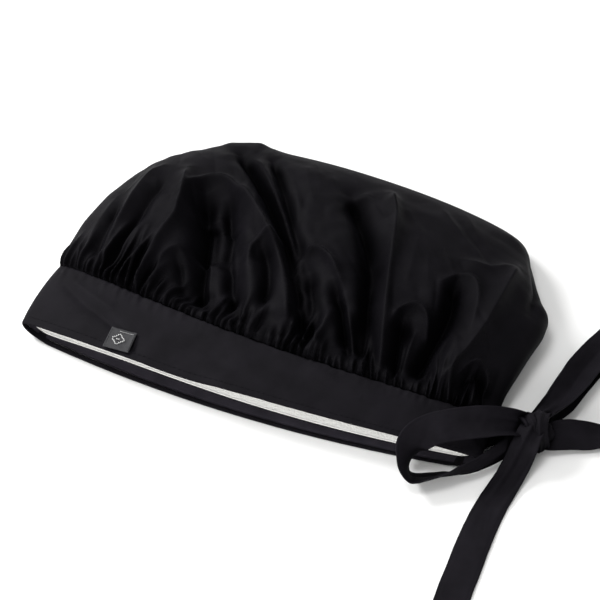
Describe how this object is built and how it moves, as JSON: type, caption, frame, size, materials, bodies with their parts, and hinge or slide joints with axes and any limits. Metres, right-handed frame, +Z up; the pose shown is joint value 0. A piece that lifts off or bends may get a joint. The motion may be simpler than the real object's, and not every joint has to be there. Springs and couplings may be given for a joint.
{
  "type": "gathered tie-back kitchen cap",
  "caption": "Soft black kitchen cap with a crown gathered onto a tapered band, tied at the back in a bow, lying flattened on its side.",
  "frame": {"origin": "on the table that the flattened cap lies on, under the middle of the cap, on the crown's flat underside", "axes": "+X from the folded front of the band to the tied back, +Y from the open mouth to the top of the crown, +Z up"},
  "size_m": [0.4808, 0.3433, 0.0434],
  "materials": {
    "crown_cloth": "plain-weave cotton blend, soft sheen",
    "band_cloth": "plain-weave cotton blend, smooth",
    "tie_cloth": "plain-weave cotton blend strap, two layers",
    "stiffener": "non-woven fusible",
    "towelling": "soft looped towelling",
    "label_weave": "fine satin-woven label"
  },
  "bodies": {
    "cap": {"crown": "crown_cloth", "band_outer": "band_cloth", "band_stiffener": "stiffener", "band_facing": "band_cloth", "sweatband": "towelling", "tie_end_upper": "tie_cloth", "tie_end_lower": "tie_cloth", "bow_knot": "tie_cloth"},
    "label": {"woven_label": "label_weave"},
    "near_loop": {"loop_near": "tie_cloth"},
    "far_loop": {"loop_far": "tie_cloth"},
    "near_tail": {"tail_near": "tie_cloth"},
    "far_tail": {"tail_far": "tie_cloth"}
  },
  "joints": [
    {"name": "label_flip", "type": "hinge", "parent": "cap", "child": "label", "pos_m": [-0.08, -0.0899, 0.0228], "axis": [1, 0, 0], "range_deg": [0, 150]},
    {"name": "near_loop_lift", "type": "hinge", "parent": "cap", "child": "near_loop", "pos_m": [0.141, -0.068, 0.0255], "axis": [-0.5708, 0.8211, 0], "range_deg": [0, 45]},
    {"name": "far_loop_swing", "type": "hinge", "parent": "cap", "child": "far_loop", "pos_m": [0.157, -0.058, 0.0105], "axis": [0, 0, 1], "range_deg": [-16, 6]},
    {"name": "near_tail_swing", "type": "hinge", "parent": "cap", "child": "near_tail", "pos_m": [0.157, -0.058, 0.0105], "axis": [0, 0, 1], "range_deg": [-3, 35]},
    {"name": "far_tail_swing", "type": "hinge", "parent": "cap", "child": "far_tail", "pos_m": [0.157, -0.058, 0.0105], "axis": [0, 0, 1], "range_deg": [-30, 12]}
  ]
}
